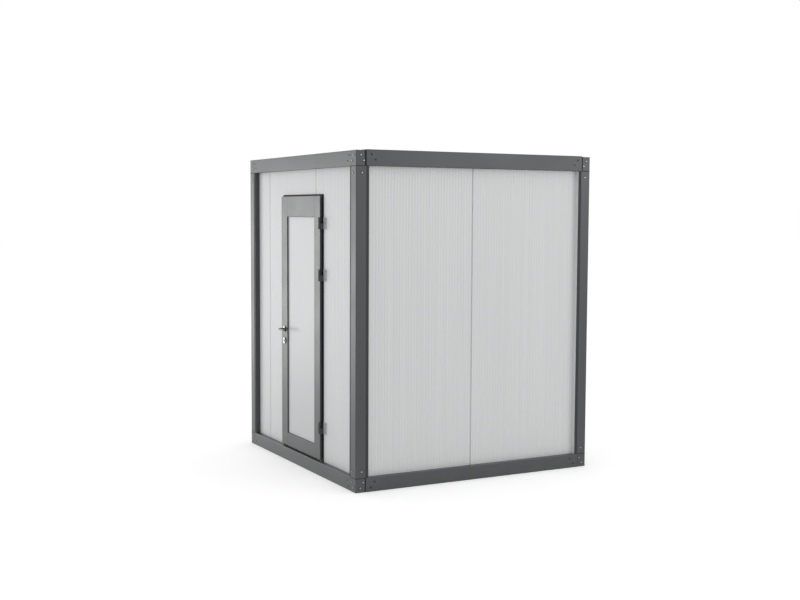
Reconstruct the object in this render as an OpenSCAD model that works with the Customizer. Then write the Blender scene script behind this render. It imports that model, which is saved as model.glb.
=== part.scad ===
// Small bolted steel-frame cabin with sandwich-panel walls and one narrow outward-opening door.
// Millimetres, +Z up. The origin is on the ground at the middle of the plan.
// The door is in the front wall, which faces -Y. Depths are measured inward from the corner
// posts' outer faces.

/* [Cabin] */
// Width along X, over the corner posts
body_w = 2200; // [2100:10:2400]
// Depth along Y, over the corner posts
body_d = 2160; // [2060:10:2400]
// Height over the corner blocks
body_h = 2600; // [2560:10:2800]

/* [Frame] */
// Width of a post's and a corner block's outer face, and the depth of a beam
post_face = 86; // [80:1:90]
// Height of the base beams
base_h = 110; // [100:1:116]
// Height of the roof beams
roof_h = 118; // [100:1:130]
// How far the side and back beams stand proud of the corner blocks
beam_proud = 5; // [1:1:8]
// How far the side and back roof beams rise above the corner blocks
beam_rise = 6; // [0:1:10]
// Width of the flange beside a post's outer face
post_flange = 25; // [20:1:30]
// Step from a post's outer face back to that flange
flange_step = 3; // [2:1:8]

/* [Walls] */
// Depth of the wall panels' outer face
panel_recess = 45; // [44:1:50]
// Thickness of the wall panels
panel_t = 50; // [48:1:60]
// Width of a full wall panel
panel_module = 1000; // [960:5:1010]
// Width of the narrow panel at the left of the front wall
narrow_panel = 255; // [200:5:300]
// Gap at a seam between two panels
seam_gap = 2; // [1:0.5:3]

/* [Door] */
// Width of the door leaf
leaf_w = 805; // [780:5:830]
// Height of the door leaf's lower edge
leaf_z0 = 125; // [123:1:130]
// Height of the door leaf's upper edge
leaf_z1 = 2265; // [2200:5:2300]
// Width of the stile on the lock side
lock_stile = 125; // [110:1:140]
// Width of the stile on the hinge side
hinge_stile = 115; // [100:1:130]
// Height of the leaf's top rail
top_rail = 170; // [120:5:200]
// Height of the leaf's bottom rail
bottom_rail = 110; // [90:5:160]
// Height of the lever handle's spindle
lever_z = 1129; // [1000:1:1150]
// Height of the lock cylinder below the spindle
key_drop = 100; // [85:1:110]
// Distance from the leaf's edge to the spindle
backset = 67; // [60:1:75]
// Heights of the three hinges
hinge_zs = [388, 1628, 2045];

/* [Hidden] */
$fn = 48;

half_w = body_w / 2;
half_d = body_d / 2;
post_w = post_face + post_flange;
wall_in = panel_recess + panel_t;
wall_z0 = base_h;
wall_z1 = body_h - roof_h;
side_wall_len = body_d - 2 * post_w;
front_wall_x0 = -half_w + post_w;
front_seam_1 = front_wall_x0 + narrow_panel;
front_seam_2 = front_seam_1 + panel_module;

// Floor, ceiling and roof
cover_t = 3;
ceiling_t = 40;
trim_leg = 30;
trim_t = 1.5;
roof_sheet_t = 3;
roof_rib_h = 20;
roof_rib_pitch = 250;
roof_rib_foot = 70;
roof_rib_top = 40;
roof_sheet_drop = 4;
fit_gap = 0.5;

// Door lining
jamb_t = 24;
core_gap = 8;
leaf_overlap = 20;
lining_depth_0 = panel_recess - 2;
lining_depth_1 = wall_in + 2;
threshold_t = 12;
clear_x = leaf_w / 2 - leaf_overlap + core_gap;
clear_z1 = leaf_z1 - leaf_overlap + core_gap;
lining_x = clear_x + jamb_t;
lining_z1 = clear_z1 + jamb_t;

// Door leaf: a flange that laps over the lining, and a core that sits inside it
flange_depth = 18;
flange_t = 16;
core_t = 40;
core_in = flange_depth + flange_t + core_t;
core_x = leaf_w / 2 - leaf_overlap;
core_z0 = leaf_z0 + 5;
core_z1 = leaf_z1 - leaf_overlap;
light_x0 = -leaf_w / 2 + lock_stile;
light_x1 = leaf_w / 2 - hinge_stile;
light_z0 = leaf_z0 + bottom_rail;
light_z1 = leaf_z1 - top_rail;
infill_depth = 30;
infill_t = 24;
seal_w = 10;
seal_t = 3;

// Hinges
hinge_h = 95;
knuckle_r = 9.5;
pin_r = 5;
pin_clear = 0.05;
pin_len = 40;
knuckle_gap = 2;
hinge_x = leaf_w / 2 + 10.5;
hinge_depth = 7;
flap_t = 4;
leaf_flap_w = 36;
wall_flap_w = 62;
lug_t = 10;

// Lever handle
lever_x = -leaf_w / 2 + backset;
rose_r = 26;
rose_t = 9;
neck_r = 10;
neck_clear = 0.05;
neck_reach = 56;
grip_r = 9;
grip_len = 116;
spindle_r = 4;
spindle_bore_r = 10;
cylinder_r = 8.5;
cylinder_proud = 13;

anthracite = [0.27, 0.29, 0.30];
panel_white = [0.88, 0.89, 0.89];
silver = [0.78, 0.78, 0.79];

// A box from its lowest to its highest corner
module slab(x0, x1, y0, y1, z0, z1) {
    translate([x0, y0, z0]) cube([x1 - x0, y1 - y0, z1 - z0]);
}

// A box in the front wall, whose depth is measured inward from the posts' outer faces
module front_slab(x0, x1, depth0, depth1, z0, z1) {
    slab(x0, x1, -half_d + depth0, -half_d + depth1, z0, z1);
}

// Places its children in all four corners, mirrored so that each corner is alike
module each_corner() {
    for (sx = [0, 1]) for (sy = [0, 1])
        mirror([sx, 0, 0]) mirror([0, sy, 0]) children();
}

// Beams along X, at the front or the back
module beam_x(back, z0, z1) {
    y_out = half_d + (back ? beam_proud : 0);
    mirror([0, back ? 1 : 0, 0])
        slab(-half_w + post_face, half_w - post_face, -y_out, -half_d + post_face, z0, z1);
}

// Beams along Y, at the left or the right
module beam_y(right, z0, z1) {
    mirror([right ? 1 : 0, 0, 0])
        slab(-half_w - beam_proud, -half_w + post_face,
             -half_d + post_face, half_d - post_face, z0, z1);
}

// Corner block of one corner
module corner_block(z0, z1) {
    slab(-half_w, -half_w + post_face, -half_d, -half_d + post_face, z0, z1);
}

// Section of the front left post: square outer corner, a stepped-back flange along each wall
// and an inner corner left open for the trim
module post_section() {
    translate([-half_w, -half_d]) polygon([
        [0, 0], [post_face, 0], [post_face, flange_step], [post_w, flange_step],
        [post_w, wall_in], [wall_in, wall_in], [wall_in, post_w],
        [flange_step, post_w], [flange_step, post_face], [0, post_face]]);
}

module corner_post(right, back) {
    color(anthracite) mirror([right, 0, 0]) mirror([0, back, 0])
        translate([0, 0, wall_z0]) linear_extrude(wall_z1 - wall_z0) post_section();
}

module floor_cassette() {
    color("silver") slab(-half_w + post_face, half_w - post_face,
        -half_d + post_face, half_d - post_face, 0, base_h - cover_t);
}

module floor_covering() {
    color("gray") slab(-half_w + post_face, half_w - post_face,
        -half_d + post_face, half_d - post_face, base_h - cover_t, base_h);
}

module ceiling() {
    color(panel_white) slab(-half_w + post_face, half_w - post_face,
        -half_d + post_face, half_d - post_face, wall_z1, wall_z1 + ceiling_t);
}

// Roof sheet with trapezoidal ribs that run from front to back
module roof_sheet() {
    x_end = half_w - post_face - fit_gap;
    z_pan = body_h - roof_sheet_drop - roof_rib_h - roof_sheet_t;
    rib_count = floor(2 * (x_end - roof_rib_foot) / roof_rib_pitch) + 1;
    rib_x0 = -(rib_count - 1) / 2 * roof_rib_pitch;
    color("darkgray")
        translate([0, half_d - post_face - fit_gap, 0]) rotate([90, 0, 0])
        linear_extrude(body_d - 2 * post_face - 2 * fit_gap) union() {
            translate([-x_end, z_pan]) square([2 * x_end, roof_sheet_t]);
            for (i = [0 : rib_count - 1])
                translate([rib_x0 + i * roof_rib_pitch, z_pan + roof_sheet_t])
                    polygon([[-roof_rib_foot / 2, 0], [roof_rib_foot / 2, 0],
                             [roof_rib_top / 2, roof_rib_h], [-roof_rib_top / 2, roof_rib_h]]);
        }
}

// White angles that close the room's four upright corners
module inner_corner_trims() {
    color(panel_white) each_corner()
        translate([-half_w + wall_in, -half_d + wall_in, wall_z0])
        linear_extrude(wall_z1 - wall_z0)
        polygon([[0, 0], [trim_leg, 0], [trim_leg, trim_t], [trim_t, trim_t],
                 [trim_t, trim_leg], [0, trim_leg]]);
}

// One wall panel of the front wall
module front_panel(x0, x1, z0 = wall_z0, z1 = wall_z1) {
    color(panel_white) front_slab(x0, x1, panel_recess, wall_in, z0, z1);
}

// A side wall's front panel is the cut one, and its back panel is a full one
module side_panel(right, back) {
    y_seam = half_d - post_w - panel_module;
    y0 = back ? y_seam + seam_gap / 2 : -half_d + post_w;
    y1 = back ? half_d - post_w : y_seam - seam_gap / 2;
    color(panel_white) mirror([right, 0, 0])
        slab(-half_w + panel_recess, -half_w + wall_in, y0, y1, wall_z0, wall_z1);
}

module back_panel(right) {
    x_seam = -half_w + post_w + panel_module;
    x0 = right ? x_seam + seam_gap / 2 : -half_w + post_w;
    x1 = right ? half_w - post_w : x_seam - seam_gap / 2;
    color(panel_white)
        slab(x0, x1, half_d - wall_in, half_d - panel_recess, wall_z0, wall_z1);
}

// Two panels meet over the door
module front_wall_header() {
    front_panel(-lining_x - fit_gap, front_seam_2 - seam_gap / 2, lining_z1 + fit_gap);
    front_panel(front_seam_2 + seam_gap / 2, lining_x + fit_gap, lining_z1 + fit_gap);
}

module door_jamb(hinge_side) {
    color(anthracite) mirror([hinge_side ? 1 : 0, 0, 0])
        front_slab(-lining_x, -clear_x, lining_depth_0, lining_depth_1, wall_z0, clear_z1);
}

module door_head() {
    color(anthracite)
        front_slab(-lining_x, lining_x, lining_depth_0, lining_depth_1, clear_z1, lining_z1);
}

module door_threshold() {
    color(silver) front_slab(-clear_x, clear_x, lining_depth_0, lining_depth_1,
        wall_z0, wall_z0 + threshold_t);
}

// Flange and core of one member of the leaf; a core stops short of the leaf's outer edges
module leaf_member(x0, x1, z0, z1) {
    front_slab(x0, x1, flange_depth, flange_depth + flange_t, z0, z1);
    front_slab(max(x0, -core_x), min(x1, core_x), flange_depth + flange_t, core_in,
               max(z0, core_z0), min(z1, core_z1));
}

module door_stile_lock() {
    color(anthracite) difference() {
        leaf_member(-leaf_w / 2, light_x0, leaf_z0, leaf_z1);
        translate([lever_x, -half_d + core_in + 1, lever_z]) rotate([90, 0, 0])
            cylinder(r = spindle_bore_r, h = core_in);
        translate([lever_x, -half_d + core_in + 1, lever_z - key_drop]) rotate([90, 0, 0])
            cylinder(r = cylinder_r, h = core_in);
    }
}

module door_stile_hinge() {
    color(anthracite) leaf_member(light_x1, leaf_w / 2, leaf_z0, leaf_z1);
}

module door_rail_top() {
    color(anthracite) leaf_member(light_x0, light_x1, light_z1, leaf_z1);
}

module door_rail_bottom() {
    color(anthracite) leaf_member(light_x0, light_x1, leaf_z0, light_z0);
}

module door_infill() {
    color("white") front_slab(light_x0, light_x1, infill_depth, infill_depth + infill_t,
        light_z0, light_z1);
}

// Seal strips on the back of the leaf's flange, along both stiles and the top
module door_seal() {
    depth0 = flange_depth + flange_t;
    color("black") {
        for (side = [0, 1]) mirror([side, 0, 0])
            front_slab(-core_x - seal_w, -core_x, depth0, depth0 + seal_t, core_z0, core_z1);
        front_slab(-core_x, core_x, depth0, depth0 + seal_t, core_z1, core_z1 + seal_w);
    }
}

// Flap on the wall, lug, lower knuckle and pin of one hinge
module hinge_frame_side() {
    knuckle_h = (hinge_h - knuckle_gap) / 2;
    translate([hinge_x, -half_d + hinge_depth, 0]) {
        cylinder(r = knuckle_r, h = knuckle_h);
        cylinder(r = pin_r, h = knuckle_h + knuckle_gap + pin_len);
        slab(0, knuckle_r, 0, lining_depth_0 - hinge_depth, 0, knuckle_h);
    }
    front_slab(hinge_x + knuckle_r - lug_t / 2, hinge_x + wall_flap_w,
               panel_recess - flap_t, panel_recess, 0, hinge_h);
}

// Flap on the leaf and upper knuckle of one hinge
module hinge_leaf_side() {
    knuckle_h = (hinge_h - knuckle_gap) / 2;
    z0 = knuckle_h + knuckle_gap;
    flap_x1 = leaf_w / 2;
    difference() {
        union() {
            translate([hinge_x, -half_d + hinge_depth, z0]) cylinder(r = knuckle_r, h = knuckle_h);
            front_slab(flap_x1 - leaf_flap_w, flap_x1, flange_depth - flap_t, flange_depth,
                       0, hinge_h);
            front_slab(flap_x1 - flap_t, hinge_x, hinge_depth, flange_depth - 1, z0, hinge_h);
        }
        translate([hinge_x, -half_d + hinge_depth, z0 - 1])
            cylinder(r = pin_r + pin_clear, h = pin_len + 2);
    }
}

module hinges_frame_side() {
    color("darkgray") for (z = hinge_zs) translate([0, 0, z - hinge_h / 2]) hinge_frame_side();
}

module hinges_leaf_side() {
    color(anthracite) for (z = hinge_zs) translate([0, 0, z - hinge_h / 2]) hinge_leaf_side();
}

// A round rose against the leaf's outer or inner face
module rose(inside, z, bore_r) {
    depth0 = inside ? core_in : flange_depth - rose_t;
    translate([lever_x, -half_d + depth0 + rose_t, z]) rotate([90, 0, 0]) difference() {
        cylinder(r = rose_r, h = rose_t);
        translate([0, 0, -1]) cylinder(r = bore_r, h = rose_t + 2);
    }
}

module door_roses() {
    color(silver) for (inside = [false, true]) {
        rose(inside, lever_z, neck_r + neck_clear);
        rose(inside, lever_z - key_drop, cylinder_r);
    }
}

module lock_cylinder() {
    color(silver) translate([lever_x, -half_d + core_in + cylinder_proud, lever_z - key_drop])
        rotate([90, 0, 0])
        cylinder(r = cylinder_r, h = core_in - flange_depth + 2 * cylinder_proud);
}

// Neck, elbow and grip of a lever whose neck starts at y = 0 and points along -Y
module lever(neck_len) {
    bend = grip_r + 3;
    rotate([90, 0, 0]) cylinder(r = neck_r, h = neck_len - bend);
    translate([bend, -neck_len + bend, 0]) rotate([0, 0, 180])
        rotate_extrude(angle = 90) translate([bend, 0]) circle(r = grip_r);
    translate([bend, -neck_len, 0]) rotate([0, 90, 0])
        cylinder(r = grip_r, h = grip_len - bend);
    translate([grip_len, -neck_len, 0]) sphere(r = grip_r);
}

// The outside lever carries the spindle
module lever_outside() {
    neck_y = flange_depth - rose_t / 2;
    inner_end = core_in + rose_t / 2;
    color(silver) translate([lever_x, -half_d, lever_z]) {
        translate([0, neck_y, 0]) lever(neck_reach - rose_t / 2);
        translate([0, inner_end, 0]) rotate([90, 0, 0])
            cylinder(r = spindle_r, h = inner_end - neck_y + 1);
    }
}

module lever_inside() {
    color(silver) translate([lever_x, -half_d + core_in + rose_t / 2, lever_z])
        mirror([0, 1, 0]) lever(neck_reach - rose_t / 2);
}

color(anthracite) beam_x(false, 0, base_h);  // base_beam_front
color(anthracite) beam_x(true, 0, base_h);  // base_beam_back
color(anthracite) beam_y(false, 0, base_h);  // base_beam_left
color(anthracite) beam_y(true, 0, base_h);  // base_beam_right
color(anthracite) each_corner() corner_block(0, base_h);  // base_corners
corner_post(0, 0);  // post_front_left
corner_post(1, 0);  // post_front_right
corner_post(0, 1);  // post_back_left
corner_post(1, 1);  // post_back_right
color(anthracite) each_corner() corner_block(wall_z1, body_h);  // roof_corners
color(anthracite) beam_x(false, wall_z1, body_h);  // roof_beam_front
color(anthracite) beam_x(true, wall_z1, body_h + beam_rise);  // roof_beam_back
color(anthracite) beam_y(false, wall_z1, body_h + beam_rise);  // roof_beam_left
color(anthracite) beam_y(true, wall_z1, body_h + beam_rise);  // roof_beam_right
floor_cassette();
floor_covering();
ceiling();
roof_sheet();
inner_corner_trims();
front_panel(front_wall_x0, front_seam_1 - seam_gap / 2);  // front_wall_narrow
front_panel(front_seam_1 + seam_gap / 2, -lining_x - fit_gap);  // front_wall_lock_side
front_panel(lining_x + fit_gap, half_w - post_w);  // front_wall_hinge_side
front_wall_header();
side_panel(1, false);  // right_wall_front
side_panel(1, true);  // right_wall_back
side_panel(0, false);  // left_wall_front
side_panel(0, true);  // left_wall_back
back_panel(false);  // back_wall_left
back_panel(true);  // back_wall_right
door_jamb(false);  // door_jamb_lock
door_jamb(true);  // door_jamb_hinge
door_head();
door_threshold();
door_stile_lock();
door_stile_hinge();
door_rail_top();
door_rail_bottom();
door_infill();
door_seal();
hinges_frame_side();
hinges_leaf_side();
door_roses();
lock_cylinder();
lever_outside();
lever_inside();
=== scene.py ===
from math import ceil, cos, pi, radians, sin

import bmesh
import bpy
from mathutils import Matrix, Vector


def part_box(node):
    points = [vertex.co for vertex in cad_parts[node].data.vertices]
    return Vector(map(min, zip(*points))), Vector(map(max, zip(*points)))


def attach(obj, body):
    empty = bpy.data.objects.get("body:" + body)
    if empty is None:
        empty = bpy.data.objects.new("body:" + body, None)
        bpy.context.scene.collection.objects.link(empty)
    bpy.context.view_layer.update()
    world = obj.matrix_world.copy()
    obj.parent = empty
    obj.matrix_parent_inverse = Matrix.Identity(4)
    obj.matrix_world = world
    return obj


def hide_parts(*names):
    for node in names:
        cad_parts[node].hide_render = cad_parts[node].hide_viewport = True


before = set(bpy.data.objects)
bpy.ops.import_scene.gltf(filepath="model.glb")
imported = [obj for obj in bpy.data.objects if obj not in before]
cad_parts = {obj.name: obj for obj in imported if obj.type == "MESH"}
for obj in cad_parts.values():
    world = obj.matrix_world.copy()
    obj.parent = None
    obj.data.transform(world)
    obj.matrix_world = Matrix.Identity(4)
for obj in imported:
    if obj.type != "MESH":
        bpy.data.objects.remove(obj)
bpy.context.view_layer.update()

print("frame loaded:", len(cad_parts), "nodes")

mm = 0.001
tiny = 0.01 * mm
quarterTurn = pi / 2
bevelAngle = radians(40)  # edges sharper than this are rounded
smoothAngle = radians(42)  # edges sharper than this are shaded sharp

# Each wall has its own frame: along the wall, inward from the posts' faces, and up
cornerLow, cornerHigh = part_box("base_corners")
wallReach = {"front": cornerHigh.y, "right": cornerHigh.x, "back": cornerHigh.y, "left": cornerHigh.x}
wallHalf = {"front": cornerHigh.x, "right": cornerHigh.y, "back": cornerHigh.x, "left": cornerHigh.y}
wallPlaces = {}
for turns, wall in enumerate(wallReach):
    turned = Matrix.Rotation(turns * quarterTurn, 4, "Z")
    wallPlaces[wall] = turned @ Matrix.Translation((0, -wallReach[wall], 0))
front = wallPlaces["front"]
outward = Matrix.Rotation(quarterTurn, 4, "X")  # stands a shape made along Z out from a wall


def wallBox(node, wall="front"):
    toWall = wallPlaces[wall].inverted()
    ends = [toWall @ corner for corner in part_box(node)]
    low = Vector([min(pair) for pair in zip(*ends)])
    high = Vector([max(pair) for pair in zip(*ends)])
    return low, high


# Mesh making

def bevelEdges(mesh, edges, width, steps=2):
    bmesh.ops.bevel(mesh, geom=list(edges), offset=width, offset_type="OFFSET", segments=steps,
                    profile=0.5, affect="EDGES", clamp_overlap=True, material=-1)


def addBlock(mesh, low, high, place=front, rounding=0, steps=2):
    size = Vector(high) - Vector(low)
    middle = (Vector(high) + Vector(low)) / 2
    matrix = place @ Matrix.Translation(middle) @ Matrix.Diagonal((*size, 1))
    made = bmesh.ops.create_cube(mesh, size=1, matrix=matrix)["verts"]
    if rounding:
        bevelEdges(mesh, {edge for vert in made for edge in vert.link_edges}, rounding, steps)
    return made


def addSpun(mesh, outline, place, steps=32):
    # outline: (radius, height) points from the bottom of the axis to its top
    part = bmesh.new()
    verts = [part.verts.new((radius, 0, height)) for radius, height in outline]
    edges = [part.edges.new(pair) for pair in zip(verts, verts[1:])]
    bmesh.ops.spin(part, geom=verts + edges, cent=(0, 0, 0), axis=(0, 0, 1), angle=2 * pi,
                   steps=steps, use_merge=True)
    bmesh.ops.remove_doubles(part, verts=part.verts[:], dist=tiny)
    bmesh.ops.recalc_face_normals(part, faces=part.faces[:])
    if part.calc_volume(signed=True) < 0:  # a flat ring can come out turned inwards
        bmesh.ops.reverse_faces(part, faces=part.faces[:])
    addMesh(mesh, part, place)


def addMesh(mesh, part, place=Matrix()):
    part.transform(place)
    data = bpy.data.meshes.new("part")
    part.to_mesh(data)
    part.free()
    mesh.from_mesh(data)
    bpy.data.meshes.remove(data)


def softCopy(node, rounding, steps=2, wide=0, isWide=None):
    # A CAD node's shape with rounded edges; its upright edges at isWide points get the wide rounding
    mesh = bmesh.new()
    mesh.from_mesh(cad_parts[node].data)
    bmesh.ops.remove_doubles(mesh, verts=mesh.verts[:], dist=tiny)
    bmesh.ops.dissolve_limit(mesh, angle_limit=radians(1), verts=mesh.verts[:], edges=mesh.edges[:])
    bmesh.ops.recalc_face_normals(mesh, faces=mesh.faces[:])
    if isWide:
        bevelEdges(mesh, [edge for edge in mesh.edges if all(isWide(vert.co) for vert in edge.verts)
                          and abs(edge.verts[0].co.z - edge.verts[1].co.z) > tiny], wide, 4)
    sharp = [edge for edge in mesh.edges if edge.is_manifold and edge.calc_face_angle(0) > bevelAngle]
    bevelEdges(mesh, sharp, rounding, steps)
    return mesh


def makePiece(name, mesh, material, body="cabin", nodes=()):
    data = bpy.data.meshes.new(name)
    mesh.to_mesh(data)
    mesh.free()
    data.polygons.foreach_set("use_smooth", [True] * len(data.polygons))
    data.set_sharp_from_angle(angle=smoothAngle)
    data.materials.clear()
    data.materials.append(material)
    piece = bpy.data.objects.new(name, data)
    bpy.context.scene.collection.objects.link(piece)
    evenShading = piece.modifiers.new("evenShading", "WEIGHTED_NORMAL")
    evenShading.keep_sharp = True
    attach(piece, body)
    if nodes:
        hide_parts(*nodes)
    print("piece:", name, len(data.polygons), "faces")
    return piece


def cutAway(piece, cutterMesh):
    data = bpy.data.meshes.new("cutter")
    cutterMesh.to_mesh(data)
    cutterMesh.free()
    cutter = bpy.data.objects.new("cutter", data)
    bpy.context.scene.collection.objects.link(cutter)
    cut = piece.modifiers.new("cut", "BOOLEAN")
    cut.operation = "DIFFERENCE"
    cut.solver = "EXACT"
    cut.object = cutter
    piece.modifiers.move(len(piece.modifiers) - 1, 0)
    piece.modifiers["evenShading"].show_viewport = False
    view = bpy.context.evaluated_depsgraph_get()
    cutData = bpy.data.meshes.new_from_object(piece.evaluated_get(view))
    piece.modifiers.remove(cut)
    piece.modifiers["evenShading"].show_viewport = True
    name = piece.data.name
    piece.data = cutData
    cutData.name = name
    cutData.polygons.foreach_set("use_smooth", [True] * len(cutData.polygons))
    cutData.set_sharp_from_angle(angle=smoothAngle)
    bpy.data.objects.remove(cutter)


# Finishes

# What every finish shares: spread is the part of a noise that carries the change
finishLook = {"ior": 1.5, "cloudDetail": 4, "cloudSpread": (0.35, 0.65), "grainDetail": 3,
              "spread": (0.3, 0.7), "dustScale": 9, "dustDetail": 5, "dustLeast": 0.5, "bumpStrength": 0.5}


def surfaceFinish(name, look):
    material = bpy.data.materials.new(name)
    material.use_nodes = True
    nodes = material.node_tree.nodes
    links = material.node_tree.links
    shader = nodes["Principled BSDF"]
    shader.inputs["Metallic"].default_value = look.get("metal", 0)
    shader.inputs["IOR"].default_value = finishLook["ior"]
    shader.inputs["Specular IOR Level"].default_value = look.get("specular", 0.5)
    shader.inputs["Coat Weight"].default_value = look.get("coat", 0)
    shader.inputs["Coat Roughness"].default_value = look.get("coatRoughness", 0.2)

    place = nodes.new("ShaderNodeTexCoord")
    stretch = nodes.new("ShaderNodeMapping")
    stretch.inputs["Scale"].default_value = look.get("stretch", (1, 1, 1))
    links.new(place.outputs["Object"], stretch.inputs["Vector"])

    def noise(scale, detail):
        texture = nodes.new("ShaderNodeTexNoise")
        texture.inputs["Scale"].default_value = scale
        texture.inputs["Detail"].default_value = detail
        links.new(stretch.outputs["Vector"], texture.inputs["Vector"])
        return texture.outputs["Fac"]

    def remap(source, fromLow, fromHigh, toLow, toHigh):
        ranged = nodes.new("ShaderNodeMapRange")
        for socket, value in zip(("From Min", "From Max", "To Min", "To Max"),
                                 (fromLow, fromHigh, toLow, toHigh)):
            ranged.inputs[socket].default_value = value
        links.new(source, ranged.inputs["Value"])
        return ranged.outputs["Result"]

    def mixColour(share, first, second):
        mixer = nodes.new("ShaderNodeMix")
        mixer.data_type = "RGBA"
        links.new(share, mixer.inputs["Factor"])
        for socket, colour in ((6, first), (7, second)):
            if isinstance(colour, tuple):
                mixer.inputs[socket].default_value = (*colour, 1)
            else:
                links.new(colour, mixer.inputs[socket])
        return mixer.outputs[2]

    # Broad variation of the colour, then specks or crystals, then a colour mixed in towards the ground: dust
    # on the frame and door, a slight darkening towards the bottom on the panels
    clouds = noise(look["cloudScale"], finishLook["cloudDetail"])
    colour = mixColour(remap(clouds, *finishLook["cloudSpread"], 0, 1), look["colour"], look["colourB"])
    if "speckScale" in look:
        cells = nodes.new("ShaderNodeTexVoronoi")
        cells.inputs["Scale"].default_value = look["speckScale"]
        links.new(stretch.outputs["Vector"], cells.inputs["Vector"])
        cellTone = nodes.new("ShaderNodeSeparateColor")
        links.new(cells.outputs["Color"], cellTone.inputs["Color"])
        speckShare = remap(cellTone.outputs["Red"], *look["speckRange"], 0, 1)
        colour = mixColour(speckShare, colour, look["speckColour"])
    if "dustTop" in look:
        heights = nodes.new("ShaderNodeSeparateXYZ")
        links.new(place.outputs["Object"], heights.inputs["Vector"])
        low = remap(heights.outputs["Z"], look["dustTop"], look.get("dustBottom", 0), 0, look["dustShare"])
        patchy = nodes.new("ShaderNodeMath")
        patchy.operation = "MULTIPLY"
        links.new(low, patchy.inputs[0])
        dustCloud = noise(finishLook["dustScale"], finishLook["dustDetail"])
        links.new(remap(dustCloud, *finishLook["spread"], finishLook["dustLeast"], 1), patchy.inputs[1])
        colour = mixColour(patchy.outputs["Value"], colour, look["dustColour"])
    links.new(colour, shader.inputs["Base Color"])

    grain = noise(look["grainScale"], finishLook["grainDetail"])
    glossFrom = grain if look.get("grainGloss") else clouds
    links.new(remap(glossFrom, *finishLook["spread"], *look["roughness"]), shader.inputs["Roughness"])
    bump = nodes.new("ShaderNodeBump")
    bump.inputs["Strength"].default_value = finishLook["bumpStrength"]
    bump.inputs["Distance"].default_value = look["bump"]
    links.new(grain, bump.inputs["Height"])
    links.new(bump.outputs["Normal"], shader.inputs["Normal"])
    return material


paintLook = {"colour": (0.041, 0.046, 0.049), "colourB": (0.046, 0.051, 0.054), "cloudScale": 2.2,
             "grainScale": 900, "bump": 0.04 * mm, "roughness": (0.36, 0.46), "specular": 0.5,
             "coat": 0.2, "coatRoughness": 0.32,
             "dustTop": 0.45, "dustShare": 0.16, "dustColour": (0.16, 0.155, 0.145)}
framePaint = surfaceFinish("anthracitePaint", paintLook)

doorPaintLook = dict(paintLook, colour=(0.044, 0.049, 0.052), colourB=(0.049, 0.054, 0.057),
                     cloudScale=5, roughness=(0.34, 0.42), dustTop=0.3)
doorPaint = surfaceFinish("doorPaint", doorPaintLook)

# The dust settings only make the panels slightly darker towards the bottom
panelPaintLook = {"colour": (0.70, 0.712, 0.717), "colourB": (0.732, 0.742, 0.747), "cloudScale": 4,
                  "stretch": (9, 9, 0.1), "grainScale": 300, "bump": 0.02 * mm, "roughness": (0.38, 0.48),
                  "dustTop": 0.5, "dustBottom": 0.1, "dustShare": 0.03, "dustColour": (0.52, 0.50, 0.46)}
panelPaint = surfaceFinish("panelPaint", panelPaintLook)

infillLook = {"colour": (0.605, 0.62, 0.625), "colourB": (0.62, 0.63, 0.635), "cloudScale": 3,
              "grainScale": 500, "bump": 0.004 * mm, "roughness": (0.33, 0.38), "specular": 0.3}
infillGloss = surfaceFinish("infillGloss", infillLook)

# Black rubber for the real seals, also used for painted shade in the joint gaps and round the door leaf
rubberLook = {"colour": (0.012, 0.012, 0.013), "colourB": (0.02, 0.02, 0.021), "cloudScale": 14,
              "grainScale": 700, "bump": 0.1 * mm, "roughness": (0.6, 0.8), "specular": 0.3}
sealRubberAndShade = surfaceFinish("sealRubberAndShade", rubberLook)

# Near-black finish for the painted shade on the posts' stepped-back flanges
flangeShadeLook = dict(rubberLook, colour=(0.022, 0.025, 0.027), colourB=(0.028, 0.031, 0.033),
                 roughness=(0.5, 0.62), specular=0.4)
flangeShadePaint = surfaceFinish("flangeShadePaint", flangeShadeLook)

zincLook = {"colour": (0.36, 0.37, 0.38), "colourB": (0.44, 0.45, 0.45), "cloudScale": 35, "metal": 1,
            "grainScale": 1200, "bump": 0.03 * mm, "roughness": (0.3, 0.48), "grainGloss": True}
boltZinc = surfaceFinish("boltZinc", zincLook)

darkScrewLook = dict(zincLook, colour=(0.035, 0.036, 0.038), colourB=(0.06, 0.06, 0.062), metal=0.6)
darkScrew = surfaceFinish("darkScrew", darkScrewLook)

# Satin steel, its colour darkened as painted shade for the dark surroundings it reflects
brushedLook = {"colour": (0.25, 0.25, 0.25), "colourB": (0.30, 0.30, 0.295), "cloudScale": 20,
               "stretch": (1, 14, 14), "metal": 1, "grainScale": 260, "bump": 0.03 * mm,
               "roughness": (0.16, 0.28), "grainGloss": True}
brushedSteelShaded = surfaceFinish("brushedSteelShaded", brushedLook)

# A still darker copy for the levers, painted shade for the dark surroundings they reflect
leverSteelShadedLook = dict(brushedLook, colour=(0.10, 0.10, 0.10), colourB=(0.13, 0.13, 0.128),
                      roughness=(0.14, 0.22))
leverSteelShaded = surfaceFinish("leverSteelShaded", leverSteelShadedLook)

galvanisedLook = {"colour": (0.45, 0.47, 0.48), "colourB": (0.50, 0.52, 0.53), "cloudScale": 6, "metal": 0.75,
                  "speckScale": 70, "speckRange": (0.1, 0.9), "speckColour": (0.55, 0.57, 0.58),
                  "grainScale": 240, "bump": 0.05 * mm, "roughness": (0.36, 0.52)}
galvanised = surfaceFinish("galvanisedSheet", galvanisedLook)

aluminiumLook = dict(brushedLook, stretch=(3, 60, 60), colour=(0.60, 0.61, 0.61), roughness=(0.28, 0.4))
thresholdAluminium = surfaceFinish("thresholdAluminium", aluminiumLook)

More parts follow.
